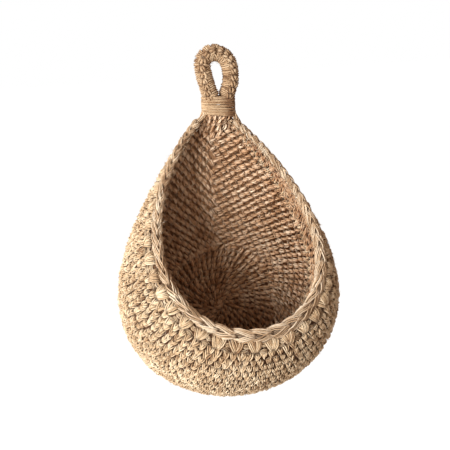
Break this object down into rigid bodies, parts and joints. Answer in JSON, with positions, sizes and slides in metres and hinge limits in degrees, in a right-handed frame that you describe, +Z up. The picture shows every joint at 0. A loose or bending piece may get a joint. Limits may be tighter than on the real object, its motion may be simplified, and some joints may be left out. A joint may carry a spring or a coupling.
{
  "type": "wall basket",
  "caption": "Teardrop wall basket crocheted in jute: flat back panel, bulging front pocket under an open mouth, rim braid and a hanging loop that tilts at the neck.",
  "frame": {"origin": "on the flat back face of the panel, at the starting ring of its crochet, 57 mm above the body's lowest point", "axes": "+Y out of the back face into the wall, +Z up along the body and the loop, +X to the right seen from the front"},
  "size_m": [0.171, 0.1035, 0.2685],
  "materials": {
    "panel_jute": "matte spun jute, crocheted",
    "pocket_jute": "matte spun jute, crocheted",
    "braid_jute": "matte spun jute, plaited",
    "cover_jute": "matte spun jute, crocheted over a cord",
    "core_cord": "matte laid jute cord",
    "binding_twine": "matte spun jute twine, wound"
  },
  "bodies": {
    "basket": {"back_panel": "panel_jute", "pocket": "pocket_jute", "rim_braid": "braid_jute"},
    "loop": {"loop_core": "core_cord", "loop_cover": "cover_jute", "loop_binding": "binding_twine", "loop_foot": "core_cord"}
  },
  "joints": [
    {"name": "loop_tilt", "type": "hinge", "parent": "basket", "child": "loop", "pos_m": [0.004, -0.0071, 0.1559], "axis": [1, 0, 0], "range_deg": [-35, 35], "stiffness_Nm_per_rad": 0.03}
  ]
}
